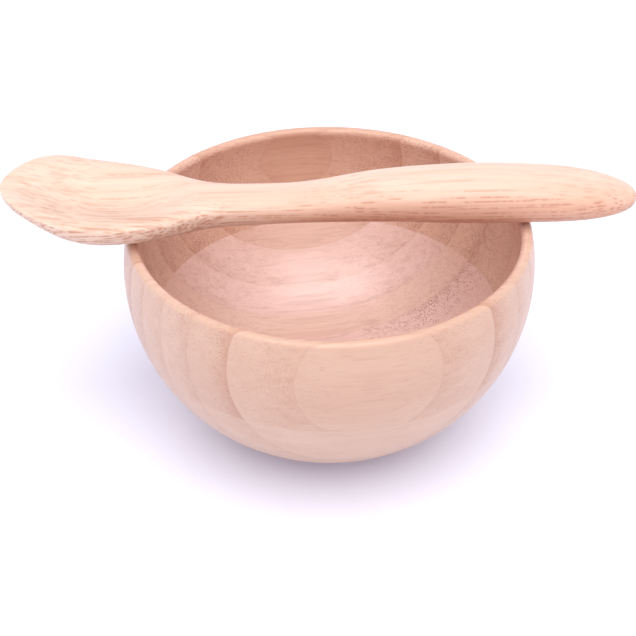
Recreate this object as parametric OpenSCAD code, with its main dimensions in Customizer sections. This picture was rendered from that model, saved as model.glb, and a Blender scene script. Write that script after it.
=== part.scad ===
// Turned bamboo feeding bowl with a pull-out suction foot and a bamboo spoon laid across the rim.
// The bowl is turned from two glued boards, and each board is a stack of glued strips.
// Frame: millimetres, +Z up, origin on the bowl's axis at table level, spoon along X.

/* [Bowl] */
// Largest outside diameter
bowl_d = 110; // [100:1:116]
// Height of the rim above the table
rim_z = 61; // [58:0.5:64]
// Height of the wooden foot above the table
foot_z = 1.7; // [1.5:0.1:2]
// Radius of the arc that the outside is turned to
outside_arc_r = 52; // [51:0.5:53]
// Depth of the widest line below the rim
widest_depth = 12; // [11:0.5:13]
// Depth of the hollow below the rim
hollow_depth = 50; // [49.5:0.5:51]
// Radius of the arc that the inside wall is turned to
inside_arc_r = 40; // [39:0.5:40]
// Depth of the hollow's widest line below the rim
inside_widest_depth = 9; // [8:0.5:9]
// Radius of the rounded lip
lip_r = 1.6; // [1.4:0.1:2]

/* [Laminated boards] */
// Thickness of the rim board, down to the level glue line
rim_board_t = 27.5; // [25:0.5:30]
// Thickness of one strip across the stack
strip_t = 8.5; // [8:0.5:9]
// Distance of the middle glue line from the bowl's axis
first_glue_line = 0.7; // [0:0.1:2]
// Angle from X to the direction that the strips are stacked in
stack_angle = -78.7; // [-85:0.1:-70]

/* [Suction foot] */
// Radius of the recess turned into the wooden foot
recess_r = 20; // [18:0.5:20.5]
// Depth of that recess
recess_depth = 4; // [3.5:0.1:4.5]
// Radial clearance of the rubber plug in the recess
plug_gap = 0.05; // [0.02:0.01:0.1]
// Outside radius of the flat lip that rests on the table
lip_foot_r = 24.3; // [23.5:0.1:24.6]
// Width of that flat lip
lip_foot_w = 1.8; // [1.5:0.1:2.2]
// Height of the suction dome under the foot
dome_h = 3.4; // [3:0.1:3.8]
// Reach of the pull tab from the bowl's axis
tab_reach = 35; // [32:0.5:37]
// Width of the pull tab
tab_w = 10; // [8:0.5:12]

/* [Spoon] */
// Length of the spoon
spoon_len = 168; // [164:1:172]
// Reach of the scoop's tip from the bowl's axis
scoop_reach = 86; // [84:1:88]
// Width of the scoop
scoop_w = 37; // [35:0.5:38]
// Width of the neck
neck_w = 14.5; // [13:0.5:16]
// Width of the grip
grip_w = 20; // [18:0.5:21]
// Height of the scoop's tip above the rim
tip_top = 13; // [12:0.5:13.5]
// Height of the tip's underside above the rim
tip_under = 8; // [7:0.5:8.5]
// Height of the scoop's edge above the rim, where the scoop is widest
scoop_top = 10; // [9.5:0.5:10.5]
// Height of the neck above the rim
neck_top = 9; // [8.5:0.5:9.5]
// Height of the grip above the rim
grip_top = 13.5; // [12.5:0.5:14]
// Rise of the underside at the neck
neck_arch = 1; // [0.5:0.5:1.5]
// Turn of the spoon about the vertical
spoon_yaw = 3.7; // [0:0.1:6]
// Sideways offset of the spoon from the bowl's axis
spoon_y = 3.2; // [0:0.1:6]
// Air gap between the spoon and the rim that it lies on
spoon_gap = 0.1; // [0.1:0.05:0.2]
// Depth of the scooped hollow
scoop_depth = 4.2; // [3:0.1:5]
// Rings along the spoon
spoon_rings = 46; // [24:1:60]
// Points round each ring
spoon_ring_points = 32; // [24:4:48]

/* [Hidden] */
bowl_r = bowl_d / 2;
wood_dark = "burlywood";
wood_light = "wheat";
slack = 1;
cut_fn = 180;

// Glue lines on either side of the middle one, and the strips between them
lines_below = 6;
lines_above = 6;
rim_lines = [for (k = [-lines_below : lines_above]) first_glue_line + k * strip_t];
base_lines = [for (k = [1 - lines_below : lines_above - 1]) first_glue_line + k * strip_t];
rim_edges = concat([-bowl_r - slack], rim_lines, [bowl_r + slack]);
base_edges = concat([-bowl_r - slack], base_lines, [bowl_r + slack]);
rim_count = len(rim_edges) - 1;
base_count = len(base_edges) - 1;
board_z = rim_z - rim_board_t;

// Turned outside: one arc, centred off the axis
outside_c = [bowl_r - outside_arc_r, rim_z - widest_depth];

// Lip: a circle that both wall arcs run into
lip_z = rim_z - lip_r;
lip_c = [outside_c[0] + sqrt(pow(outside_arc_r - lip_r, 2) - pow(lip_z - outside_c[1], 2)), lip_z];

// Turned inside: a wall arc that touches the lip circle, and a flatter floor arc that touches the wall arc
inside_z = rim_z - inside_widest_depth;
inside_c = [lip_c[0] - sqrt(pow(inside_arc_r + lip_r, 2) - pow(lip_z - inside_z, 2)), inside_z];
drop = hollow_depth - inside_widest_depth;
floor_arc_r = (pow(inside_c[0], 2) + pow(drop, 2) - pow(inside_arc_r, 2)) / (2 * (drop - inside_arc_r));
floor_z = rim_z - hollow_depth;
floor_c = [0, floor_z + floor_arc_r];
floor_angle = atan2(inside_c[0], floor_c[1] - inside_c[1]);
floor_join = floor_c + floor_arc_r * [sin(floor_angle), -cos(floor_angle)];

// Points where the lip circle touches the wall arcs
lip_outer = lip_c + lip_r * (lip_c - outside_c) / norm(lip_c - outside_c);
lip_inner = lip_c - lip_r * (lip_c - inside_c) / norm(lip_c - inside_c);

// Suction foot: plug, lip and the sphere that hollows the dome
plug_r = recess_r - plug_gap;
plug_top = foot_z + recess_depth - 2 * plug_gap;
plug_bevel = 0.6;
lip_bevel = 0.5;
lip_foot_slope = 0.3;
dome_r = lip_foot_r - lip_foot_w;
dome_sphere_r = (pow(dome_r, 2) + pow(dome_h, 2)) / (2 * dome_h);
tab_low = 0.35;
tab_t = 1.2;

// Spoon: its ends, its half widths, and how far the widths and heights have changed between two parts
spoon_start = -scoop_reach;
spoon_end = spoon_start + spoon_len;
scoop_half_w = scoop_w / 2;
neck_half_w = neck_w / 2;
grip_half_w = grip_w / 2;
scoop_back_half_w = 0.84 * scoop_half_w;
grip_start_half_w = mix(neck_half_w, grip_half_w, 0.6);
grip_start_top = mix(neck_top, grip_top, 0.8);
taper_top = mix(grip_top, neck_top, 1 / 3);

// Stations along the spoon: share of its length, half width, height of the top, height of the underside,
// with heights measured from the rim. The ends are closed by noses of the lengths below.
spoon_stations = [
    station(0, scoop_half_w, tip_top, tip_under),              // scoop's tip
    station(0.05, scoop_half_w, tip_top, tip_under),           // front of the scoop
    station(0.13, scoop_half_w, scoop_top, 0),                 // widest part of the scoop
    station(0.24, scoop_back_half_w, neck_top, 0),             // back of the scoop
    station(0.33, neck_half_w, neck_top, 0),                   // shoulder
    station(0.45, neck_half_w, neck_top, neck_arch),           // neck
    station(0.6, grip_start_half_w, grip_start_top, neck_arch), // start of the grip
    station(0.75, grip_half_w, grip_top, 0),                   // full grip
    station(0.88, grip_half_w, taper_top, 0),                  // grip starts to taper
    station(1, grip_half_w, neck_top, 0)                       // butt
];
softening = 4;
tip_nose = 18;
butt_nose = 26;
tip_power = 1.7;
butt_power = 2.2;
tip_closing_power = 4;
butt_closing_power = 3;
closing_root = 2.5;
section_start = spoon_start + 22;
section_end = spoon_start + 74;
scoop_middle = spoon_start + 25;
scoop_half_length = 25;
scoop_width_share = 0.88;
edge_share_scoop = 0.15;
edge_share_grip = 0.5;
top_power_scoop = 2.8;
top_power_grip = 2.2;
under_power_scoop = 2.5;
under_power_grip = 2.3;

function two_digits(n) = str(n < 10 ? "0" : "", n);
rim_names = [for (i = [1 : rim_count]) str("rim_strip_", two_digits(i))];
base_names = [for (i = [1 : base_count]) str("base_strip_", two_digits(i))];

// ---- Bowl ----

// Half section of the turned wood, with the hollow and the foot recess taken out
module bowl_section() {
    translate(lip_c) circle(r = lip_r, $fn = cut_fn);
    difference() {
        intersection() {
            translate(outside_c) circle(r = outside_arc_r, $fn = cut_fn);
            polygon([
                [0, foot_z],
                [bowl_r + slack, foot_z],
                [bowl_r + slack, lip_outer[1]],
                lip_outer,
                lip_inner,
                [0, lip_inner[1]]
            ]);
        }
        hollow_section();
        translate([-slack, foot_z - slack]) square([slack + recess_r, slack + recess_depth]);
    }
}

// The hollow: a flat arc over the floor, and a rounder arc up the wall
module hollow_section() {
    intersection() {
        translate(floor_c) circle(r = floor_arc_r, $fn = cut_fn);
        translate([-slack, floor_z - slack]) square([floor_join[0] + slack, hollow_depth + 2 * slack]);
    }
    intersection() {
        translate(inside_c) circle(r = inside_arc_r, $fn = cut_fn);
        translate([floor_join[0], floor_z - slack]) square([bowl_r, hollow_depth + 2 * slack]);
    }
}

module turned_bowl() {
    rotate_extrude($fn = cut_fn) bowl_section();
}

// One strip: the part of the turned bowl between two glue lines and two heights
module strip(from, to, low, high) {
    intersection() {
        turned_bowl();
        rotate([0, 0, stack_angle])
            translate([from, -bowl_r - slack, low])
                cube([to - from, 2 * (bowl_r + slack), high - low]);
    }
}

module rim_strip(i) {
    color(i % 2 == 0 ? wood_dark : wood_light)
        strip(rim_edges[i], rim_edges[i + 1], board_z, rim_z + slack);
}

module base_strip(i) {
    color(i % 2 == 0 ? wood_light : wood_dark)
        strip(base_edges[i], base_edges[i + 1], foot_z - slack, board_z);
}

// ---- Suction foot ----

// Soft plug with a flat lip, a domed underside that holds the vacuum, and a tab to peel it off
module suction_foot() {
    color("whitesmoke") {
        rotate_extrude($fn = cut_fn) difference() {
            polygon([
                [0, 0],
                [lip_foot_r, 0],
                [lip_foot_r + lip_foot_slope, lip_bevel],
                [lip_foot_r - lip_bevel, foot_z],
                [plug_r, foot_z],
                [plug_r, plug_top - plug_bevel],
                [plug_r - plug_bevel, plug_top],
                [0, plug_top]
            ]);
            translate([0, dome_h - dome_sphere_r]) circle(r = dome_sphere_r, $fn = cut_fn);
        }
        translate([0, 0, tab_low]) linear_extrude(tab_t) {
            translate([-tab_w / 2, dome_r + lip_bevel]) square([tab_w, tab_reach - tab_w / 2 - dome_r - lip_bevel]);
            translate([0, tab_reach - tab_w / 2]) circle(d = tab_w, $fn = cut_fn);
        }
    }
}

// ---- Spoon ----

function ease(t) = let (c = min(1, max(0, t))) c * c * (3 - 2 * c);
function mix(a, b, t) = a + (b - a) * t;
function station(share, half_w, top, under) = [mix(spoon_start, spoon_end, share), half_w, top, under];

// How far the section has changed from the scoop's to the grip's, from 0 to 1
function grip_share(x) = ease((x - section_start) / (section_end - section_start));
function last_before(x, i = 0) =
    i >= len(spoon_stations) - 2 || x < spoon_stations[i + 1][0] ? i : last_before(x, i + 1);

// Rise of one column over the gap after a station
function rise(column, i) =
    (spoon_stations[i + 1][column] - spoon_stations[i][column])
    / (spoon_stations[i + 1][0] - spoon_stations[i][0]);

// Slope of one column at a station: level at a peak or a dip, so that the curve never overshoots
function slope(column, i) =
    let (
        before = rise(column, max(0, i - 1)),
        after = rise(column, min(len(spoon_stations) - 2, i))
    )
    before * after <= 0 ? 0 : 2 * before * after / (before + after);

// Cubic through one column of the stations
function through(column, x) =
    let (
        at = min(spoon_end, max(spoon_start, x)),
        i = last_before(at),
        a = spoon_stations[i],
        b = spoon_stations[i + 1],
        span = b[0] - a[0],
        t = (at - a[0]) / span
    )
    (2 * pow(t, 3) - 3 * pow(t, 2) + 1) * a[column]
    + (pow(t, 3) - 2 * pow(t, 2) + t) * span * slope(column, i)
    + (3 * pow(t, 2) - 2 * pow(t, 3)) * b[column]
    + (pow(t, 3) - pow(t, 2)) * span * slope(column, i + 1);

// The same cubic, evened out over its neighbourhood so that its bends are soft
function along(column, x) =
    (through(column, x - 2 * softening) + 2 * through(column, x - softening) + 3 * through(column, x)
    + 2 * through(column, x + softening) + through(column, x + 2 * softening)) / 9;

// Closing of an end: 1 away from it, falling to 0 at the very end
function nose(distance, length, power, root) =
    let (t = min(1, max(0, 1 - distance / length))) pow(max(0, 1 - pow(t, power)), 1 / root);

// Signed power, which turns a circle into a rounder or squarer outline
function squared(v, power) = sign(v) * pow(abs(v), 2 / power);

// Depth of the scooped hollow at a point of the top
function scoop(x, y, half_w) =
    let (
        lengthwise = max(0, 1 - pow((x - scoop_middle) / scoop_half_length, 2)),
        across = min(1, abs(y) / (scoop_width_share * half_w))
    )
    scoop_depth * lengthwise * pow(cos(90 * across), 2);

// Points of one ring round the spoon
function spoon_ring(x) =
    let (
        from_tip = x - spoon_start,
        from_butt = spoon_end - x,
        half_w = along(1, x) * nose(from_tip, tip_nose, tip_power, tip_power)
            * nose(from_butt, butt_nose, butt_power, butt_power),
        top = along(2, x),
        under = along(3, x),
        edge_share = mix(edge_share_scoop, edge_share_grip, grip_share(x)),
        top_power = mix(top_power_scoop, top_power_grip, grip_share(x)),
        under_power = mix(under_power_scoop, under_power_grip, grip_share(x)),
        widest = top - edge_share * (top - under),
        closing = nose(from_tip, tip_nose, tip_closing_power, closing_root)
            * nose(from_butt, butt_nose, butt_closing_power, closing_root)
    )
    [for (k = [0 : spoon_ring_points - 1])
        let (
            a = 360 * k / spoon_ring_points,
            upper = sin(a) >= 0,
            power = upper ? top_power : under_power,
            y = half_w * squared(cos(a), power),
            reach = (upper ? top - widest : widest - under) * closing,
            dish = upper ? scoop(x, y, half_w) : 0
        )
        [x, y, widest + reach * squared(sin(a), power) - dish]];

// Rings crowd towards both ends, where the outline turns fastest
ring_x = [for (i = [1 : spoon_rings])
    mix(spoon_start, spoon_end, (1 - cos(180 * i / (spoon_rings + 1))) / 2)];

// Height of the point that closes each end
function end_height(x) =
    mix(along(2, x), along(3, x), mix(edge_share_scoop, edge_share_grip, grip_share(x)));

module spoon() {
    n = spoon_ring_points;
    last_ring = (spoon_rings - 1) * n;
    tip_point = spoon_rings * n;
    butt_point = tip_point + 1;
    points = concat(
        [for (x = ring_x) each spoon_ring(x)],
        [[spoon_start, 0, end_height(spoon_start)], [spoon_end, 0, end_height(spoon_end)]]
    );
    sides = [for (i = [0 : spoon_rings - 2], k = [0 : n - 1])
        let (a = i * n + k, b = i * n + (k + 1) % n)
        each [[a, b + n, b], [a, a + n, b + n]]];
    ends = [for (k = [0 : n - 1])
        each [[tip_point, k, (k + 1) % n], [butt_point, last_ring + (k + 1) % n, last_ring + k]]];
    color("blanchedalmond")
        translate([0, spoon_y, rim_z + spoon_gap])
            rotate([0, 0, spoon_yaw])
                polyhedron(points = points, faces = concat(sides, ends), convexity = 4);
}

for (i = [0 : rim_count - 1]) {
    rim_strip(i);
}
for (i = [0 : base_count - 1]) {
    base_strip(i);
}
suction_foot();
spoon();
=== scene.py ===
"""Looks for a turned bamboo bowl: its glued strips, a spoon across the rim and a suction foot underneath.

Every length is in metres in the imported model's frame: +Z up, origin on the bowl's axis at table level.
Bamboo is a solid texture: fibre bundles run along the grain, so one pattern gives dots on end grain
and streaks on long grain, and each strip reads its own glue lines, tone and seed from its properties.
"""

import math

import bmesh
import bpy
from mathutils import Matrix, Vector


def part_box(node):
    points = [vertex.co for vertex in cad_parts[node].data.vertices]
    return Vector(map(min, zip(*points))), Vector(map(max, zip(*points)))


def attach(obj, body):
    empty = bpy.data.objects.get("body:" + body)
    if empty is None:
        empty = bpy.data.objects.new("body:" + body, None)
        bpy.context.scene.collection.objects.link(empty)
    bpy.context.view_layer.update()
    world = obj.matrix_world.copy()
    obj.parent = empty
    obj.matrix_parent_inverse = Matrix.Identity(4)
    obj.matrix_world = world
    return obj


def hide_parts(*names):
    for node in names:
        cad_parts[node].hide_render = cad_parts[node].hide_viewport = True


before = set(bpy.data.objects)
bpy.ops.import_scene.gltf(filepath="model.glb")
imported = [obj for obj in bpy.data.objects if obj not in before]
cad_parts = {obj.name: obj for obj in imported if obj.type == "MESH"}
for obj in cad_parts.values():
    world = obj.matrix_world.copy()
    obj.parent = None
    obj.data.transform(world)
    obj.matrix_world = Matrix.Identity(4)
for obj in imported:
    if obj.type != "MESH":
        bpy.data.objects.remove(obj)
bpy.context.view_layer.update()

MM = 0.001

# ---- Sizes ----

# Turned section, as in the CAD model
OUTSIDE_ARC_R = 52 * MM
WIDEST_DEPTH = 12 * MM
HOLLOW_DEPTH = 50 * MM
INSIDE_ARC_R = 40 * MM
INSIDE_WIDEST_DEPTH = 9 * MM
LIP_R = 1.6 * MM
RECESS_R = 20 * MM
RECESS_DEPTH = 4 * MM
FOOT_BEVEL = 0.3 * MM
STACK_ANGLE = math.radians(-78.7)
TURNS = 288

# Suction foot
LIP_FOOT_R = 24.3 * MM
LIP_FOOT_W = 1.8 * MM
DOME_H = 3.4 * MM
PLUG_GAP = 0.05 * MM
TAB_W = 10 * MM
TAB_REACH = 35 * MM

# Spoon, as in the CAD model. The rest of its sizes are in mm, and its heights are measured from the rim
SPOON_YAW = math.radians(3.7)
SPOON_Y = 3.2 * MM
SPOON_GAP = 0.1 * MM
SPOON_LEN, SCOOP_REACH = 168, 86
SCOOP_W, NECK_W, GRIP_W = 37, 14.5, 20
TIP_TOP, TIP_UNDER = 13, 8
SCOOP_TOP, NECK_TOP, GRIP_TOP = 10, 9, 13.5
NECK_ARCH = 1
SPOON_START, SPOON_END = -SCOOP_REACH, SPOON_LEN - SCOOP_REACH
SOFTENING = 4
TIP_NOSE, TIP_POWER = 18, 1.7
BUTT_NOSE, BUTT_POWER = 26, 2.2
TIP_CLOSING_POWER, BUTT_CLOSING_POWER, CLOSING_ROOT = 4, 3, 2.5
SECTION_START, SECTION_END = SPOON_START + 22, SPOON_START + 74
SCOOP_MIDDLE, SCOOP_HALF_LENGTH = SPOON_START + 25, 25
SCOOP_DEPTH, SCOOP_WIDTH_SHARE = 4.2, 0.88
EDGE_SHARE_SCOOP, EDGE_SHARE_GRIP = 0.15, 0.5
TOP_POWER_SCOOP, TOP_POWER_GRIP = 2.8, 2.2
UNDER_POWER_SCOOP, UNDER_POWER_GRIP = 2.5, 2.3
SPOON_RINGS, SPOON_RING_POINTS = 240, 144


def box_of(names):
    """Lowest and highest corner over several CAD nodes."""
    boxes = [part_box(n) for n in names]
    low = Vector(min(b[0][i] for b in boxes) for i in range(3))
    high = Vector(max(b[1][i] for b in boxes) for i in range(3))
    return low, high


rim_names = sorted(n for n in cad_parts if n.startswith("rim_strip"))
base_names = sorted(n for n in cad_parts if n.startswith("base_strip"))
rim_low, rim_high = box_of(rim_names)
base_low, base_high = box_of(base_names)
BOWL_R = (rim_high.x - rim_low.x) / 2
RIM_Z = rim_high.z
BOARD_Z = base_high.z
FOOT_Z = base_low.z
STACK = Vector((math.cos(STACK_ANGLE), math.sin(STACK_ANGLE), 0))


def span_along(name, direction):
    """Lowest and highest distance of a CAD node's vertices along a direction."""
    steps = [v.co.dot(direction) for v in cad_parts[name].data.vertices]
    return min(steps), max(steps)


# ---- Mesh helpers ----


def arc(centre, radius, start, end, count):
    """Points of an arc in the (radius, height) plane, both ends included. Angles are in radians."""
    angles = [start + (end - start) * i / count for i in range(count + 1)]
    return [(centre[0] + radius * math.cos(a), centre[1] + radius * math.sin(a)) for a in angles]


def angle_to(start, end):
    return math.atan2(end[1] - start[1], end[0] - start[0])


def lathe(profile, turns):
    """A closed bmesh from a profile whose first and last points are on the axis."""
    bm = bmesh.new()
    rings = []
    for r, z in profile[1:-1]:
        ring = []
        for i in range(turns):
            a = 2 * math.pi * i / turns
            ring.append(bm.verts.new((r * math.cos(a), r * math.sin(a), z)))
        rings.append(ring)
    first = bm.verts.new((0, 0, profile[0][1]))
    last = bm.verts.new((0, 0, profile[-1][1]))
    for i in range(turns):
        j = (i + 1) % turns
        bm.faces.new((first, rings[0][j], rings[0][i]))
        bm.faces.new((last, rings[-1][i], rings[-1][j]))
        for a, b in zip(rings, rings[1:]):
            bm.faces.new((a[i], a[j], b[j], b[i]))
    bmesh.ops.recalc_face_normals(bm, faces=bm.faces)
    return bm


def cut(bm, point, normal):
    """Cuts away what lies on the normal's side of a plane, and closes the cut with flat faces."""
    geometry = bm.verts[:] + bm.edges[:] + bm.faces[:]
    bmesh.ops.bisect_plane(bm, geom=geometry, plane_co=point, plane_no=normal, dist=1e-8, clear_outer=True)
    rim = [e for e in bm.edges if len(e.link_faces) == 1]
    filled = bmesh.ops.triangle_fill(bm, edges=rim, use_beauty=True, normal=normal)
    for f in filled["geom"]:
        if isinstance(f, bmesh.types.BMFace):
            f.smooth = False


def finish_mesh(bm, name, sharp_angle=math.radians(32)):
    """Turns a bmesh into a linked object with sharp edges where the surface turns quickly."""
    for e in bm.edges:
        if len(e.link_faces) == 2 and e.calc_face_angle(0) > sharp_angle:
            e.smooth = False
    mesh = bpy.data.meshes.new(name)
    bm.to_mesh(mesh)
    bm.free()
    piece = bpy.data.objects.new(name, mesh)
    bpy.context.scene.collection.objects.link(piece)
    return piece


# ---- Materials ----


class Graph:
    """The node tree of a material or a world, with short calls for the nodes that repeat."""

    def __init__(self, owner):
        owner.use_nodes = True
        self.owner = owner
        self.tree = owner.node_tree
        self.tree.nodes.clear()

    def feed(self, socket, value):
        if isinstance(value, bpy.types.NodeSocket):
            self.tree.links.new(value, socket)
        else:
            socket.default_value = value

    def node(self, kind, inputs=None, **settings):
        made = self.tree.nodes.new("ShaderNode" + kind)
        for key, value in settings.items():
            setattr(made, key, value)
        for key, value in (inputs or {}).items():
            self.feed(made.inputs[key], value)
        return made

    def math(self, operation, a, b=0.0, clamp=False):
        return self.node("Math", {0: a, 1: b}, operation=operation, use_clamp=clamp).outputs[0]

    def vector(self, operation, a, b):
        return self.node("VectorMath", {0: a, 1: b}, operation=operation).outputs[0]

    def combine(self, x, y, z):
        return self.node("CombineXYZ", {0: x, 1: y, 2: z}).outputs[0]

    def property(self, name):
        """One of the object's own properties."""
        return self.node("Attribute", attribute_type="OBJECT", attribute_name=name).outputs["Fac"]

    def fade(self, value, low, high):
        """0 at low and 1 at high, smooth in between. Low may be above high."""
        ends = {"Value": value, "From Min": min(low, high), "From Max": max(low, high)}
        ends["To Min"], ends["To Max"] = (0.0, 1.0) if low < high else (1.0, 0.0)
        return self.node("MapRange", ends, interpolation_type="SMOOTHSTEP").outputs[0]

    def scaled(self, value, low, high):
        """A value from 0 to 1, moved to the range from low to high."""
        return self.math("ADD", self.math("MULTIPLY", value, high - low), low)

    def mix(self, factor, a, b, blend="MIX"):
        return self.node("Mix", {0: factor, 6: a, 7: b}, data_type="RGBA", blend_type=blend).outputs[2]

    def noise(self, vector, detail=2.0, roughness=0.5):
        settings = {"Vector": vector, "Scale": 1.0, "Detail": detail, "Roughness": roughness}
        return self.node("TexNoise", settings).outputs[0]

    def cells(self, vector, randomness=0.8):
        """Flat cells: the distance from each one's middle, and a random number per cell."""
        settings = {"Vector": vector, "Scale": 1.0, "Randomness": randomness}
        made = self.node("TexVoronoi", settings, voronoi_dimensions="2D")
        chance = self.node("SeparateColor", {0: made.outputs["Color"]}).outputs[0]
        return made.outputs["Distance"], chance

    def surface(self, color, roughness, height, bump_distance, **settings):
        bump = self.node("Bump", {"Height": height, "Strength": 1.0, "Distance": bump_distance})
        inputs = {"Base Color": color, "Roughness": roughness, "Normal": bump.outputs[0]}
        inputs.update(settings)
        shader = self.node("BsdfPrincipled", inputs)
        self.node("OutputMaterial", {"Surface": shader.outputs[0]})


def rgb(red, green, blue):
    return (red, green, blue, 1.0)


# Bamboo's ground from pale to deep, and its fibre bundles. Sizes are those of the open and the close bundles,
# open_share is the least share of open ones, hollow_share is what the hollow adds to it, outside is painted shade, a
# tint that makes the outside a little darker and less red than the hollow, the dots' strengths are for a polished side
# and for the hollow, flat_share is how much of that is left on level ground, side_share on long grain, and breaks is
# how often a bundle is broken along the grain, per metre
STRIP_GRAIN = STACK_ANGLE + math.pi / 2
STRIP_LOOK = {
    "pale": (0.70, 0.465, 0.34),
    "deep": (0.55, 0.295, 0.19),
    "bundle": (0.34, 0.14, 0.10),
    # Pink tone of the wood, made paler so that it also paints the sheen of the hollow
    "pink_and_sheen": (0.78, 0.54, 0.475),
    "outside": (0.91, 0.955, 0.97),
    "open_size": 0.52 * MM,
    "close_size": 0.40 * MM,
    "open_share": 0.15,
    "hollow_share": 0.60,
    "wall_tone": 0.10,
    "skin_tone": 0.42,
    "dots": 0.36,
    "hollow_dots": 0.66,
    "flat_share": 1.0,
    "side_share": 0.45,
    "breaks": 120.0,
    "streaks": 0.12,
}
SPOON_LOOK = {
    "pale": (0.72, 0.555, 0.435),
    "deep": (0.62, 0.34, 0.225),
    "bundle": (0.46, 0.22, 0.14),
    "pink_and_sheen": (0.74, 0.50, 0.42),
    "outside": (1.0, 1.0, 1.0),
    "open_size": 1.15 * MM,
    "close_size": 0.85 * MM,
    "open_share": 0.4,
    "hollow_share": 0.0,
    "wall_tone": 1.0,
    "skin_tone": 0.0,
    "dots": 0.75,
    "hollow_dots": 0.75,
    "flat_share": 0.42,
    "side_share": 1.0,
    "breaks": 520.0,
    "streaks": 0.30,
}
WANDER = 0.9 * MM
SKIN_POWER = 2.5
# How much stronger streaks are in the hollow
HOLLOW_STREAKS = 2.2
# How much of a strip's pink tone and painted sheen is left on the polished outside; the painted sheen belongs to the
# hollow
OUTSIDE_PINK_AND_SHEEN = 0.25
GLUE_HALF_WIDTH = 0.06 * MM
GLUE_STRENGTH = 0.09
# A surface has to lean towards the bowl's axis by more than this to count as the hollow, so that level faces don't
FACING_MARGIN = 1e-7
# The spoon's ground deepens little at the scoop, and fully from the grip on; under the grip this is partly painted
# shade
SPOON_SCOOP_X, SPOON_GRIP_X = -35 * MM, 10 * MM
# The sheen of the hollow starts this far below the rim, and is full at the second depth
SHEEN_DEPTHS = [2 * MM, 8 * MM]


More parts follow.
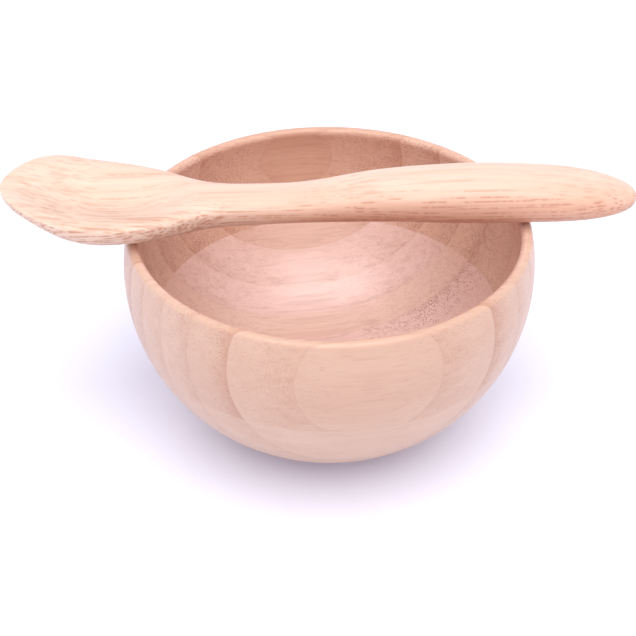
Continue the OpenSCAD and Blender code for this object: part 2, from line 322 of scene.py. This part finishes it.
def bamboo(name, grain_angle, look, across):
    """Bamboo whose fibres run along grain_angle from +X.

    across(graph, grain, stack, height) returns how far a point is through the stalk's wall, from 0 on the
    open inner side to 1 on the dense outer side, and how steeply the ground deepens with it there. The
    object's properties give its seed, tone, and its pink tone with painted sheen, and how strong its gradient and its
    dots are.
    Returns the graph, the colour, the dots, the fibres and where the surface faces the bowl's axis.
    """
    g = Graph(bpy.data.materials.new(name))
    place = g.node("TexCoord").outputs["Object"]
    turned = g.node("VectorRotate", {"Vector": place, "Angle": -grain_angle}, rotation_type="Z_AXIS").outputs[0]
    grain, stack, height = g.node("SeparateXYZ", {0: turned}).outputs
    wall, steepness = across(g, grain, stack, height)
    outward = g.vector("MULTIPLY", place, (1.0, 1.0, 0.0))
    normal = g.node("NewGeometry").outputs["Normal"]
    facing = g.node("VectorMath", {0: outward, 1: normal}, operation="DOT_PRODUCT")
    inward = g.math("LESS_THAN", facing.outputs["Value"], -FACING_MARGIN)
    level = g.fade(g.node("SeparateXYZ", {0: normal}).outputs[2], 0.55, 0.95)
    along_grain = (math.cos(grain_angle), math.sin(grain_angle), 0.0)
    end_on = g.node("VectorMath", {0: normal, 1: along_grain}, operation="DOT_PRODUCT").outputs["Value"]
    end_grain = g.fade(g.math("ABSOLUTE", end_on), 0.15, 0.6)
    seed = g.property("seed")
    grain = g.math("ADD", grain, g.math("MULTIPLY", seed, 0.31))
    stack = g.math("ADD", stack, g.math("MULTIPLY", seed, 0.17))

    # Fibres wander a little from side to side along the grain
    slow = g.combine(g.math("MULTIPLY", grain, 22.0), g.math("MULTIPLY", stack, 60.0), g.math("MULTIPLY", height, 60.0))
    sway = g.node("TexNoise", {"Vector": slow, "Scale": 1.0, "Detail": 1.0}).outputs["Color"]
    sideways, upward = g.node("SeparateColor", {0: sway}).outputs[0:2]
    stack = g.math("ADD", stack, g.math("MULTIPLY", sideways, WANDER))
    height = g.math("ADD", height, g.math("MULTIPLY", upward, WANDER))

    def stretched(lengthwise, crosswise):
        return g.combine(g.math("MULTIPLY", grain, lengthwise), g.math("MULTIPLY", stack, crosswise),
                         g.math("MULTIPLY", height, crosswise))

    # Soft bands, streaks, fine fibres, and slow changes of tone
    bands = g.noise(stretched(9.0, 300.0))
    streaks = g.noise(stretched(14.0, 850.0))
    fibres = g.noise(stretched(40.0, 2200.0), 2.0, 0.6)
    clouds = g.noise(stretched(25.0, 50.0))

    # Fibre bundles: open ones everywhere, and a second, closer set towards the dense side
    def bundles(size, keep, wide):
        flat = g.combine(g.math("DIVIDE", stack, size), g.math("DIVIDE", height, size), 0.0)
        distance, chance = g.cells(flat)
        kept = g.fade(g.math("SUBTRACT", keep, chance), -0.08, 0.08)
        return g.math("MULTIPLY", g.fade(distance, wide, wide * 0.4), kept)

    keep = g.math("ADD", g.scaled(wall, look["open_share"], 1.0), g.math("MULTIPLY", inward, look["hollow_share"]))
    open_ones = bundles(look["open_size"], keep, 0.34)
    close_ones = bundles(look["close_size"], g.scaled(wall, -0.4, 1.0), 0.36)
    broken = g.fade(g.noise(stretched(look["breaks"], 500.0), 1.0), 0.36, 0.56)
    spots = g.math("MULTIPLY", g.math("MAXIMUM", open_ones, close_ones), g.scaled(broken, 0.15, 1.0))

    # The ground deepens slowly through the wall, and quickly at the skin
    skin = g.math("POWER", wall, SKIN_POWER)
    gradient = g.math("ADD", g.math("MULTIPLY", wall, look["wall_tone"]), g.math("MULTIPLY", skin, look["skin_tone"]))
    depth = g.math("ADD", g.math("MULTIPLY", bands, 0.55), g.math("MULTIPLY", clouds, 0.3))
    depth = g.math("ADD", depth, g.math("MULTIPLY", gradient, steepness))
    depth = g.math("ADD", depth, g.property("tone"))
    # Pink tone, partly painted sheen: full in the hollow, a quarter on the outside
    pink_and_painted_sheen = g.math("MULTIPLY", g.property("pink_and_sheen"), g.scaled(inward, OUTSIDE_PINK_AND_SHEEN, 1.0))
    pale = g.mix(pink_and_painted_sheen, rgb(*look["pale"]), rgb(*look["pink_and_sheen"]))
    color = g.mix(g.math("ADD", depth, -0.2, clamp=True), pale, rgb(*look["deep"]))
    bundle = rgb(*look["bundle"])
    streaky = g.math("MULTIPLY", g.fade(streaks, 0.45, 0.72), g.scaled(wall, 0.5 * look["streaks"], look["streaks"]))
    color = g.mix(g.math("MULTIPLY", streaky, g.scaled(inward, 1.0, HOLLOW_STREAKS)), color, bundle)
    color = g.mix(g.math("MULTIPLY", g.fade(fibres, 0.5, 0.8), 0.22), color, bundle)

    # Painted shade: the outside of the same wood is tinted a little darker and less red than the hollow
    outside_painted_shade = g.mix(inward, rgb(*look["outside"]), rgb(1.0, 1.0, 1.0))
    color = g.mix(1.0, color, outside_painted_shade, "MULTIPLY")

    # The hollow is cut across the fibres, so the bundles stand out more there than on the polished outside
    strength = g.math("MULTIPLY", g.scaled(inward, look["dots"], look["hollow_dots"]), g.property("dots"))
    strength = g.math("MULTIPLY", strength, g.scaled(end_grain, look["side_share"], 1.0))
    strength = g.math("MULTIPLY", strength, g.scaled(level, 1.0, look["flat_share"]), clamp=True)
    color = g.mix(g.math("MULTIPLY", spots, strength), color, bundle)
    return g, color, spots, fibres, inward


def strip_material():
    def across(g, grain, stack, height):
        """From 0 at a strip's open side to 1 at its dense side, with the strip's own properties."""
        from_open = g.math("ABSOLUTE", g.math("ADD", stack, g.property("open_side")))
        wall = g.math("POWER", g.math("DIVIDE", from_open, g.property("thickness"), clamp=True), 1.6)
        return wall, g.property("gradient")

    g, color, spots, fibres, inward = bamboo("bamboo_strips", STRIP_GRAIN, STRIP_LOOK, across)
    # Glue lines show as hair-thin darker seams between strips and between the two boards
    place = g.node("TexCoord").outputs["Object"]
    out = g.node("VectorMath", {0: place, 1: tuple(STACK)}, operation="DOT_PRODUCT").outputs["Value"]
    height = g.node("SeparateXYZ", {0: place}).outputs[2]
    gaps = [g.math("ABSOLUTE", g.math("SUBTRACT", out, g.property(edge))) for edge in ("glue_low", "glue_high")]
    gaps.append(g.math("ABSOLUTE", g.math("SUBTRACT", height, BOARD_Z)))
    nearest = g.math("MINIMUM", g.math("MINIMUM", gaps[0], gaps[1]), gaps[2])
    seam = g.fade(nearest, 2 * GLUE_HALF_WIDTH, 0.3 * GLUE_HALF_WIDTH)
    color = g.mix(g.math("MULTIPLY", seam, GLUE_STRENGTH), color, rgb(0.34, 0.17, 0.10))
    below = g.fade(height, RIM_Z - SHEEN_DEPTHS[0], RIM_Z - SHEEN_DEPTHS[1])
    sheen = g.scaled(g.math("MULTIPLY", inward, below), 0.5, 1.0)
    rough = g.scaled(spots, 0.34, 0.5)
    relief = g.math("SUBTRACT", g.math("MULTIPLY", fibres, 0.35), spots)
    g.surface(color, rough, relief, 0.01 * MM, **{"Specular IOR Level": sheen})
    return g.owner


def spoon_material():
    def across(g, grain, stack, height):
        """The dense side of the stalk's wall is put on the spoon's underside and its near edge, so the deeper ground
        there is partly painted shade.
        """
        low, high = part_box("spoon")
        share = g.math("DIVIDE", g.math("SUBTRACT", high.z - 1 * MM, height), high.z - low.z)
        # Partly bamboo's gradient and partly painted shade: the ground deepens towards the near edge and the underside
        shaded_side_lean = g.math("MULTIPLY", stack, -1 / (15 * MM))
        wall = g.math("ADD", g.math("MULTIPLY", share, 1.2), shaded_side_lean, clamp=True)
        grip = g.fade(grain, SPOON_SCOOP_X, SPOON_GRIP_X)
        return wall, g.scaled(grip, 0.12, 0.85)

    g, color, spots, fibres, _ = bamboo("bamboo_spoon", SPOON_YAW, SPOON_LOOK, across)
    rough = g.scaled(spots, 0.45, 0.56)
    relief = g.math("SUBTRACT", g.math("MULTIPLY", fibres, 0.35), spots)
    g.surface(color, rough, relief, 0.02 * MM, **{"Specular IOR Level": 0.35})
    return g.owner


def silicone_material():
    g = Graph(bpy.data.materials.new("silicone"))
    place = g.node("TexCoord").outputs["Object"]
    haze = g.noise(g.vector("MULTIPLY", place, (90.0, 90.0, 90.0)), 3.0)
    grain = g.noise(g.vector("MULTIPLY", place, (3500.0, 3500.0, 3500.0)), 2.0)
    color = g.mix(haze, rgb(0.78, 0.77, 0.74), rgb(0.86, 0.855, 0.83))
    softness = {"Subsurface Weight": 0.35, "Subsurface Radius": (0.004, 0.0035, 0.003), "Transmission Weight": 0.1}
    g.surface(color, g.scaled(haze, 0.38, 0.52), grain, 0.01 * MM, **softness)
    return g.owner


# ---- Bowl ----


def bowl_profile():
    """Half section of the turned wood, from the axis in the foot's recess, round the lip, to the axis on the floor."""
    outside_c = (BOWL_R - OUTSIDE_ARC_R, RIM_Z - WIDEST_DEPTH)
    lip_z = RIM_Z - LIP_R
    lip_c = (outside_c[0] + math.sqrt((OUTSIDE_ARC_R - LIP_R) ** 2 - (lip_z - outside_c[1]) ** 2), lip_z)
    inside_z = RIM_Z - INSIDE_WIDEST_DEPTH
    inside_c = (lip_c[0] - math.sqrt((INSIDE_ARC_R + LIP_R) ** 2 - (lip_z - inside_z) ** 2), inside_z)
    drop = HOLLOW_DEPTH - INSIDE_WIDEST_DEPTH
    floor_arc_r = (inside_c[0] ** 2 + drop ** 2 - INSIDE_ARC_R ** 2) / (2 * (drop - INSIDE_ARC_R))
    floor_c = (0, RIM_Z - HOLLOW_DEPTH + floor_arc_r)
    recess_top = FOOT_Z + RECESS_DEPTH
    foot_angle = math.asin((FOOT_Z - outside_c[1]) / OUTSIDE_ARC_R)
    join_angle = angle_to(floor_c, inside_c)
    recess = [(RECESS_R * i / 16, recess_top) for i in range(17)]
    recess += [(RECESS_R, FOOT_Z + FOOT_BEVEL), (RECESS_R + FOOT_BEVEL, FOOT_Z)]
    outside = arc(outside_c, OUTSIDE_ARC_R, foot_angle, angle_to(outside_c, lip_c), 76)
    lip_end = angle_to(inside_c, lip_c) + math.pi
    lip = arc(lip_c, LIP_R, angle_to(outside_c, lip_c), lip_end, 18)
    wall = arc(inside_c, INSIDE_ARC_R, angle_to(inside_c, lip_c), join_angle, 64)
    floor = arc(floor_c, floor_arc_r, join_angle, -math.pi / 2, 18)
    return recess + outside + lip[1:] + wall[1:] + floor[1:]


# Thickness of a whole strip, and the strips that were glued in with their dense side towards the back
STRIP_T = span_along(rim_names[2], STACK)[1] - span_along(rim_names[2], STACK)[0]
FLIPPED_RIM, FLIPPED_BASE = 5, 4
# The outermost strip at the front stops short of its dense side
OUTERMOST_SHARE = 1.7
# How much deeper or paler each strip's bamboo is, and how pink, from the back of the bowl to the front. The pink is
# partly painted sheen in the hollow, and the fourth and fifth base strips are made palest partly as painted sheen low
# on the hollow's right
RIM_TONES = [0.33, 0.34, 0.12, 0.04, -0.22, -0.24, -0.16, 0.08, -0.05, -0.04, 0.0, 0.12, 0.14, 0.18]
BASE_TONES = [0.02, -0.16, -0.22, -0.36, -0.40, -0.30, -0.12, -0.08, -0.06, -0.04, 0.04, 0.0]
RIM_PINK_AND_SHEEN = [0.2, 0.2, 0.2, 0.2, 0.0, 0.1, 0.2, 0.3, 0.5, 0.5, 0.4, 0.2, 0.1, 0.0]
BASE_PINK_AND_SHEEN = [0.6, 1.0, 1.0, 0.5, 1.0, 0.9, 0.5, 0.5, 0.4, 0.3, 0.2, 0.1]
RIM_GRADIENTS = [0.3, 0.5, 0.5, 0.5, 0.5, 1.1, 0.5, 0.5, 0.35, 0.35, 0.5, 1.1, 0.45, 0.2]
RIM_DOTS = [0.5, 1.1, 1.2, 1.2, 1.2, 1.4, 1.2, 1.2, 0.9, 0.8, 1.0, 1.1, 0.8, 0.6]
BASE_GRADIENT, BASE_FLIPPED_GRADIENT = 0.3, 0.8
BASE_DOTS, FLIPPED_DOTS = 0.45, 1.5


def make_strips(material):
    """Cuts the turned bowl along its glue lines, one piece per CAD strip."""
    whole = lathe(bowl_profile(), TURNS)
    for f in whole.faces:
        f.smooth = True
    glue_z = Vector((0, 0, BOARD_Z))
    up = Vector((0, 0, 1))
    for names, keep in ((rim_names, -up), (base_names, up)):
        board = whole.copy()
        cut(board, glue_z, keep)
        for i, name in enumerate(names):
            low, high = span_along(name, STACK)
            piece = board.copy()
            if i > 0:
                cut(piece, STACK * low, -STACK)
            if i < len(names) - 1:
                cut(piece, STACK * high, STACK)
            strip = finish_mesh(piece, "turned_" + name)
            strip.data.materials.append(material)
            strip["glue_low"] = low
            strip["glue_high"] = high
            set_grain(strip, names is rim_names, i)
            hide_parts(name)
            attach(strip, "bowl")
        board.free()
    whole.free()


def set_grain(strip, on_rim, i):
    """Each strip is its own piece of bamboo, so its pattern and tone differ from its neighbours'."""
    # The first strip of each board is only the front part of a full one, so it is measured from its front
    dense_side = strip["glue_high"]
    open_side = dense_side - STRIP_T
    if i == (FLIPPED_RIM if on_rim else FLIPPED_BASE):
        open_side = strip["glue_high"]
    elif i > 0:
        open_side = strip["glue_low"]
    flipped = open_side == strip["glue_high"]
    last = i == len(rim_names if on_rim else base_names) - 1
    strip["open_side"] = open_side
    strip["thickness"] = STRIP_T * (OUTERMOST_SHARE if last else 1.0)
    strip["seed"] = float(1 + i * 3 + (0 if on_rim else 50))
    strip["tone"] = (RIM_TONES if on_rim else BASE_TONES)[i]
    strip["gradient"] = RIM_GRADIENTS[i] if on_rim else BASE_FLIPPED_GRADIENT if flipped else BASE_GRADIENT
    strip["dots"] = FLIPPED_DOTS if flipped else RIM_DOTS[i] if on_rim else BASE_DOTS
    strip["pink_and_sheen"] = (RIM_PINK_AND_SHEEN if on_rim else BASE_PINK_AND_SHEEN)[i]


# ---- Spoon ----


def ease(t):
    t = min(1.0, max(0.0, t))
    return t * t * (3 - 2 * t)


def blend(a, b, t):
    return a + (b - a) * t


def spoon_stations():
    """Stations along the spoon: where, half width, height of the top, height of the underside."""
    scoop_half, neck_half, grip_half = SCOOP_W / 2, NECK_W / 2, GRIP_W / 2
    grip_start_half = blend(neck_half, grip_half, 0.6)
    grip_start_top = blend(NECK_TOP, GRIP_TOP, 0.8)
    taper_top = blend(GRIP_TOP, NECK_TOP, 1 / 3)
    shares = [
        (0, scoop_half, TIP_TOP, TIP_UNDER),
        (0.05, scoop_half, TIP_TOP, TIP_UNDER),
        (0.13, scoop_half, SCOOP_TOP, 0),
        (0.24, 0.84 * scoop_half, NECK_TOP, 0),
        (0.33, neck_half, NECK_TOP, 0),
        (0.45, neck_half, NECK_TOP, NECK_ARCH),
        (0.6, grip_start_half, grip_start_top, NECK_ARCH),
        (0.75, grip_half, GRIP_TOP, 0),
        (0.88, grip_half, taper_top, 0),
        (1, grip_half, NECK_TOP, 0),
    ]
    return [(blend(SPOON_START, SPOON_END, share), *sizes) for share, *sizes in shares]


SPOON_STATIONS = spoon_stations()


def rise(column, i):
    a, b = SPOON_STATIONS[i], SPOON_STATIONS[i + 1]
    return (b[column] - a[column]) / (b[0] - a[0])


def slope(column, i):
    """Slope of a column at a station: level at a peak or a dip, so that the curve never overshoots."""
    before = rise(column, max(0, i - 1))
    after = rise(column, min(len(SPOON_STATIONS) - 2, i))
    return 0.0 if before * after <= 0 else 2 * before * after / (before + after)


def through(column, x):
    """Cubic through one column of the stations."""
    x = min(SPOON_END, max(SPOON_START, x))
    i = max(k for k in range(len(SPOON_STATIONS) - 1) if k == 0 or x >= SPOON_STATIONS[k][0])
    a, b = SPOON_STATIONS[i], SPOON_STATIONS[i + 1]
    span = b[0] - a[0]
    t = (x - a[0]) / span
    return (
        (2 * t ** 3 - 3 * t ** 2 + 1) * a[column]
        + (t ** 3 - 2 * t ** 2 + t) * span * slope(column, i)
        + (3 * t ** 2 - 2 * t ** 3) * b[column]
        + (t ** 3 - t ** 2) * span * slope(column, i + 1)
    )


def along(column, x):
    """The same cubic, evened out over its neighbourhood so that its bends are soft."""
    weights = [1, 2, 3, 2, 1]
    total = sum(w * through(column, x + (k - 2) * SOFTENING) for k, w in enumerate(weights))
    return total / sum(weights)


def nose(distance, length, power, root):
    """Closing of an end: 1 away from it, falling to 0 at the very end."""
    t = min(1.0, max(0.0, 1 - distance / length))
    return max(0.0, 1 - t ** power) ** (1 / root)


def squared(v, power):
    return math.copysign(abs(v) ** (2 / power), v)


def grip_share(x):
    return ease((x - SECTION_START) / (SECTION_END - SECTION_START))


def scoop(x, y, half_w):
    lengthwise = max(0.0, 1 - ((x - SCOOP_MIDDLE) / SCOOP_HALF_LENGTH) ** 2)
    across = min(1.0, abs(y) / (SCOOP_WIDTH_SHARE * half_w))
    return SCOOP_DEPTH * lengthwise * math.cos(across * math.pi / 2) ** 2


def spoon_ring(x):
    """Points of one ring round the spoon, in mm from the rim."""
    from_tip, from_butt = x - SPOON_START, SPOON_END - x
    narrow = nose(from_tip, TIP_NOSE, TIP_POWER, TIP_POWER) * nose(from_butt, BUTT_NOSE, BUTT_POWER, BUTT_POWER)
    half_w = along(1, x) * narrow
    top, under = along(2, x), along(3, x)
    share = blend(EDGE_SHARE_SCOOP, EDGE_SHARE_GRIP, grip_share(x))
    top_power = blend(TOP_POWER_SCOOP, TOP_POWER_GRIP, grip_share(x))
    under_power = blend(UNDER_POWER_SCOOP, UNDER_POWER_GRIP, grip_share(x))
    widest = top - share * (top - under)
    closing = nose(from_tip, TIP_NOSE, TIP_CLOSING_POWER, CLOSING_ROOT)
    closing *= nose(from_butt, BUTT_NOSE, BUTT_CLOSING_POWER, CLOSING_ROOT)
    ring = []
    for k in range(SPOON_RING_POINTS):
        a = 2 * math.pi * k / SPOON_RING_POINTS
        upper = math.sin(a) >= 0
        power = top_power if upper else under_power
        y = half_w * squared(math.cos(a), power)
        reach = (top - widest if upper else widest - under) * closing
        dish = scoop(x, y, half_w) if upper else 0.0
        ring.append(Vector((x, y, widest + reach * squared(math.sin(a), power) - dish)))
    return ring


def make_spoon(material):
    place = Matrix.Translation((0, SPOON_Y, RIM_Z + SPOON_GAP)) @ Matrix.Rotation(SPOON_YAW, 4, "Z") @ Matrix.Scale(MM, 4)
    bm = bmesh.new()
    rings = []
    for i in range(1, SPOON_RINGS + 1):
        x = blend(SPOON_START, SPOON_END, (1 - math.cos(math.pi * i / (SPOON_RINGS + 1))) / 2)
        rings.append([bm.verts.new(place @ p) for p in spoon_ring(x)])
    ends = []
    for x in (SPOON_START, SPOON_END):
        share = blend(EDGE_SHARE_SCOOP, EDGE_SHARE_GRIP, grip_share(x))
        ends.append(bm.verts.new(place @ Vector((x, 0, blend(along(2, x), along(3, x), share)))))
    for k in range(SPOON_RING_POINTS):
        j = (k + 1) % SPOON_RING_POINTS
        bm.faces.new((ends[0], rings[0][k], rings[0][j]))
        bm.faces.new((ends[1], rings[-1][j], rings[-1][k]))
        for a, b in zip(rings, rings[1:]):
            bm.faces.new((a[k], b[k], b[j], a[j]))
    bmesh.ops.recalc_face_normals(bm, faces=bm.faces)
    for f in bm.faces:
        f.smooth = True
    piece = finish_mesh(bm, "carved_spoon", math.pi)
    piece.data.materials.append(material)
    piece["seed"] = 2.0
    piece["tone"] = -0.12
    piece["pink_and_sheen"] = 0.0
    piece["gradient"] = 1.0
    piece["dots"] = 1.0
    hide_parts("spoon")
    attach(piece, "spoon")
    return piece


# ---- Suction foot ----


def foot_profile():
    """Half section of the soft plug, from the axis in the dome to the axis on top, with rounded corners."""
    dome_r = LIP_FOOT_R - LIP_FOOT_W
    sphere_r = (dome_r ** 2 + DOME_H ** 2) / (2 * DOME_H)
    sphere_c = (0, DOME_H - sphere_r)
    plug_r = RECESS_R - PLUG_GAP
    plug_top = FOOT_Z + RECESS_DEPTH - 2 * PLUG_GAP
    dome = arc(sphere_c, sphere_r, math.pi / 2, math.atan2(-sphere_c[1], dome_r), 40)
    rounding = 0.45 * MM
    lip = arc((LIP_FOOT_R - rounding + 0.15 * MM, rounding), rounding, -math.pi / 2, 0, 8)
    shoulder_r = 1.0 * MM
    shoulder = arc((LIP_FOOT_R - shoulder_r, FOOT_Z - shoulder_r), shoulder_r, 0.3, math.pi / 2, 8)
    corner_r = 0.6 * MM
    corner = arc((plug_r - corner_r, plug_top - corner_r), corner_r, 0, math.pi / 2, 8)
    return dome + lip + shoulder + [(plug_r, FOOT_Z)] + corner + [(0, plug_top)]


def make_foot(material):
    bm = lathe(foot_profile(), 192)
    body = finish_mesh(bm, "soft_suction_foot")
    tab = make_tab()
    join = body.modifiers.new("tab", "BOOLEAN")
    join.operation = "UNION"
    join.solver = "EXACT"
    join.object = tab
    graph = bpy.context.evaluated_depsgraph_get()
    whole = bpy.data.meshes.new_from_object(body.evaluated_get(graph), depsgraph=graph)
    body.modifiers.clear()
    body.data = whole
    bpy.data.objects.remove(tab)
    for p in whole.polygons:
        p.use_smooth = True
    bm = bmesh.new()
    bm.from_mesh(whole)
    for e in bm.edges:
        e.smooth = e.calc_face_angle(0) < math.radians(40)
    bm.to_mesh(whole)
    bm.free()
    whole.materials.clear()
    whole.materials.append(material)
    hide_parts("suction_foot")
    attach(body, "suction_foot")
    return body


def make_tab():
    """A rounded tongue that sticks out behind the lip."""
    low, high = 0.35 * MM, 1.55 * MM
    inner = LIP_FOOT_R - LIP_FOOT_W + 0.5 * MM
    middle = TAB_REACH - TAB_W / 2
    outline = [(TAB_W / 2, inner)]
    outline += [(TAB_W / 2 * math.cos(a), middle + TAB_W / 2 * math.sin(a))
                for a in (math.pi * i / 32 for i in range(33))]
    outline.append((-TAB_W / 2, inner))
    bm = bmesh.new()
    rounding = 0.35 * MM
    rings = []
    steps = [(rounding, low), (0.0, low + rounding), (0.0, high - rounding), (rounding, high)]
    centre = Vector((0, (inner + TAB_REACH) / 2))
    for inset, z in steps:
        ring = []
        for x, y in outline:
            toward = (centre - Vector((x, y))).normalized() * inset
            ring.append(bm.verts.new((x + toward.x, y + toward.y, z)))
        rings.append(ring)
    n = len(outline)
    for a, b in zip(rings, rings[1:]):
        for i in range(n):
            bm.faces.new((a[i], a[(i + 1) % n], b[(i + 1) % n], b[i]))
    bm.faces.new(rings[0][::-1])
    bm.faces.new(rings[-1])
    bmesh.ops.recalc_face_normals(bm, faces=bm.faces)
    return finish_mesh(bm, "tab_tool")


# ---- Stage ----

FLOOR_SIZE = 8.0
CAMERA_DISTANCE = 7.9 * BOWL_R
CAMERA_ELEVATION = math.radians(32.57)
CAMERA_HALF_FIELD = math.radians(11)
CAMERA_YAW = math.radians(0.37)
CAMERA_PITCH = math.radians(-3.28)
CAMERA_ROLL = math.radians(-0.56)
HORIZON_END = 0.8
HORIZON = rgb(1.08, 1.02, 1.20)
ZENITH = rgb(0.60, 0.58, 0.68)
CEILING = [0.5, 110, 0]
SOFTBOX = [2.6, 60, 22, 3]
FLOOR = rgb(0.74, 0.76, 0.84)
# Painted light: the table glows a little, though it is no lamp, which lifts its shade
FLOOR_PAINTED_GLOW = rgb(0.07, 0.07, 0.09)


def make_camera():
    """Looks at the middle of the rim from the front, then turns a little to set the framing."""
    target = Vector((0, 0, RIM_Z))
    back = Vector((0, -math.cos(CAMERA_ELEVATION), math.sin(CAMERA_ELEVATION)))
    ahead = -back
    right = Vector((1, 0, 0))
    above = right.cross(ahead)
    yaw = Matrix.Rotation(CAMERA_YAW, 3, above)
    ahead, right = yaw @ ahead, yaw @ right
    pitch = Matrix.Rotation(CAMERA_PITCH, 3, right)
    ahead, above = pitch @ ahead, pitch @ above
    roll = Matrix.Rotation(CAMERA_ROLL, 3, ahead)
    right, above = roll @ right, roll @ above
    data = bpy.data.cameras.new("camera")
    data.sensor_width = 36
    data.lens = data.sensor_width / 2 / math.tan(CAMERA_HALF_FIELD)
    camera = bpy.data.objects.new("camera", data)
    axes = Matrix((right, above, -ahead)).transposed()
    camera.matrix_world = Matrix.Translation(target + back * CAMERA_DISTANCE) @ axes.to_4x4()
    bpy.context.scene.collection.objects.link(camera)
    bpy.context.scene.camera = camera


def make_floor():
    bm = bmesh.new()
    bmesh.ops.create_grid(bm, x_segments=1, y_segments=1, size=FLOOR_SIZE / 2)
    floor = finish_mesh(bm, "floor")
    g = Graph(bpy.data.materials.new("floor_white"))
    # Painted light: a faint glow on the floor, which is no lamp
    painted_glow = {"Emission Color": FLOOR_PAINTED_GLOW, "Emission Strength": 1.0}
    matt = {"Base Color": FLOOR, "Roughness": 0.7, "Specular IOR Level": 0.2}
    shader = g.node("BsdfPrincipled", {**matt, **painted_glow})
    g.node("OutputMaterial", {"Surface": shader.outputs[0]})
    floor.data.materials.append(g.owner)


def make_light():
    """A soft box overhead, a little towards the camera, and a sky that is brightest near the horizon."""
    world = bpy.data.worlds.new("studio")
    bpy.context.scene.world = world
    g = Graph(world)
    upward = g.node("SeparateXYZ", {0: g.node("TexCoord").outputs["Generated"]}).outputs[2]
    sky = g.mix(g.fade(upward, HORIZON_END, 0.0), ZENITH, HORIZON)
    seen = g.node("LightPath").outputs["Is Camera Ray"]
    background = g.node("Background", {"Color": g.mix(seen, sky, rgb(1.0, 1.0, 1.0)), "Strength": 1.0})
    g.node("OutputWorld", {"Surface": background.outputs[0]})
    make_sun("ceiling", CEILING[0], math.radians(CEILING[1]), (math.radians(CEILING[2]), 0))
    make_sun("softbox", SOFTBOX[0], math.radians(SOFTBOX[1]), (math.radians(SOFTBOX[2]), math.radians(SOFTBOX[3])))


def make_sun(name, energy, angle, tilt):
    """A far soft source overhead. Tilt leans it towards the camera, then to the right."""
    data = bpy.data.lights.new(name, "SUN")
    data.energy = energy
    data.angle = angle
    data.color = (1.0, 0.98, 0.94)
    lamp = bpy.data.objects.new(name, data)
    lamp.rotation_euler = (tilt[0], tilt[1], 0)
    bpy.context.scene.collection.objects.link(lamp)


make_strips(strip_material())
make_spoon(spoon_material())
make_foot(silicone_material())
make_floor()
make_light()
make_camera()
bpy.context.scene.view_settings.view_transform = "Standard"
